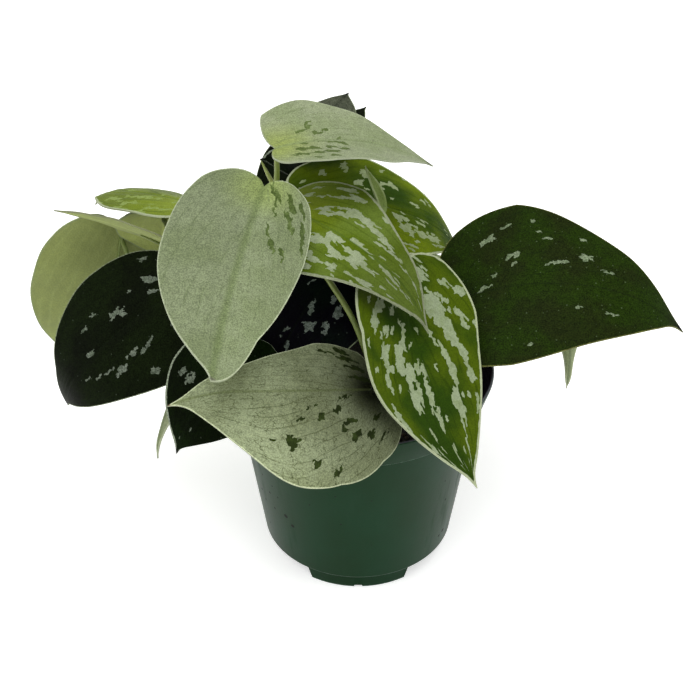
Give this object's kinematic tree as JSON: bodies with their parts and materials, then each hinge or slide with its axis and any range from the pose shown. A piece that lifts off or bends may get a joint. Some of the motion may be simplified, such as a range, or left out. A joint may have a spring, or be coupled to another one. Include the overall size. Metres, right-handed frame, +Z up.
{
  "type": "potted silvery ann satin pothos",
  "caption": "Trailing satin pothos with heart-shaped silver, patched and dark leaves on short vines, rooted in soil in a round green nursery pot with a banded rim.",
  "frame": {"origin": "middle of the pot's underside, on the face of its centre boss, where the pot stands", "axes": "+Z up along the pot's axis, -Y towards the viewer, +X to the viewer's right"},
  "size_m": [0.2787, 0.2278, 0.1856],
  "materials": {
    "pot": "semi-gloss moulded dark green plastic, a little scuffed and dusty",
    "soil": "damp dark potting mix with bark crumbs",
    "stem": "smooth fleshy pale green stem and petioles",
    "leaf_silver": "satin silvery green upper face with a few green flecks and a pale edge",
    "leaf_patched": "satin mid green with jagged silver patches and a pale edge",
    "leaf_dark": "satin blackish green with sparse silver spots and a thin pale edge",
    "leaf_pale": "plain matt olive green underside or young leaf"
  },
  "bodies": {
    "root": {"pot": "pot", "soil": "soil", "vine_top": "stem", "vine_left": "stem", "vine_centre": "stem", "vine_right": "stem", "vine_back": "stem", "leaf_top_silver": "leaf_silver", "leaf_front_silver": "leaf_silver", "leaf_rim_silver": "leaf_silver", "leaf_back_low": "leaf_silver", "leaf_centre_patched": "leaf_patched", "leaf_right_patched": "leaf_patched", "leaf_left_patched": "leaf_patched", "leaf_back_patched": "leaf_patched", "leaf_back_left": "leaf_patched", "leaf_back_right": "leaf_patched", "leaf_right_dark": "leaf_dark", "leaf_left_dark": "leaf_dark", "leaf_centre_dark": "leaf_dark", "leaf_low_dark": "leaf_dark", "leaf_top_back_dark": "leaf_dark", "leaf_top_hanging_dark": "leaf_dark", "leaf_top_pointed": "leaf_dark", "leaf_top_blunt": "leaf_dark", "leaf_back_upper": "leaf_dark", "leaf_back_centre": "leaf_dark", "leaf_left_back": "leaf_pale", "leaf_left_edge": "leaf_pale", "leaf_left_hanging": "leaf_pale", "leaf_right_hanging": "leaf_pale", "leaf_low_hanging": "leaf_pale", "leaf_new_rolled": "leaf_pale"}
  },
  "joints": []
}
